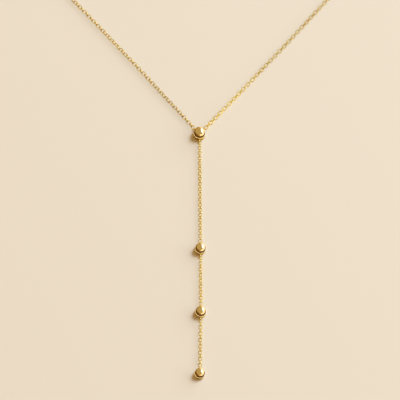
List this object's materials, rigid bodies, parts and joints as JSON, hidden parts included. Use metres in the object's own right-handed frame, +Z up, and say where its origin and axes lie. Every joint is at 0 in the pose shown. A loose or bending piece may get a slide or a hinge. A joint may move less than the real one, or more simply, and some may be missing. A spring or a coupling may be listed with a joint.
{
  "type": "y necklace",
  "caption": "Fine gold cable chain necklace in a Y form, with a beaded junction, a drop chain with beaded stations in round cups, and a plain barrel clasp.",
  "frame": {"origin": "centre of the junction cup's flat back, on the surface that the necklace lies on", "axes": "+Z up out of the surface, +Y from the junction up the middle of the neck loop to the clasp, so the drop lies along -Y, +X to the right of a wearer's front seen from the front"},
  "size_m": [0.132, 0.2539, 0.0044],
  "materials": {
    "chain_gold": "gold-plated round wire, polished by wear, each link softly bright",
    "cup_gold": "gold-plated, turned cup with a bright rim and a slightly duller wall",
    "bead_gold": "mirror-polished gold-plated bead",
    "clasp_gold": "gold-plated, evenly polished barrel"
  },
  "bodies": {
    "root": {"junction_cup": "cup_gold", "junction_bead": "bead_gold", "station_1_cup": "cup_gold", "station_1_bead": "bead_gold", "station_2_cup": "cup_gold", "station_2_bead": "bead_gold", "end_cup": "cup_gold", "end_bead": "bead_gold", "drop_chain_1": "chain_gold", "drop_chain_2": "chain_gold", "drop_chain_3": "chain_gold", "front_chain_left": "chain_gold", "front_chain_right": "chain_gold", "back_chain_left": "chain_gold", "back_chain_right": "chain_gold", "clasp": "clasp_gold"}
  },
  "joints": []
}
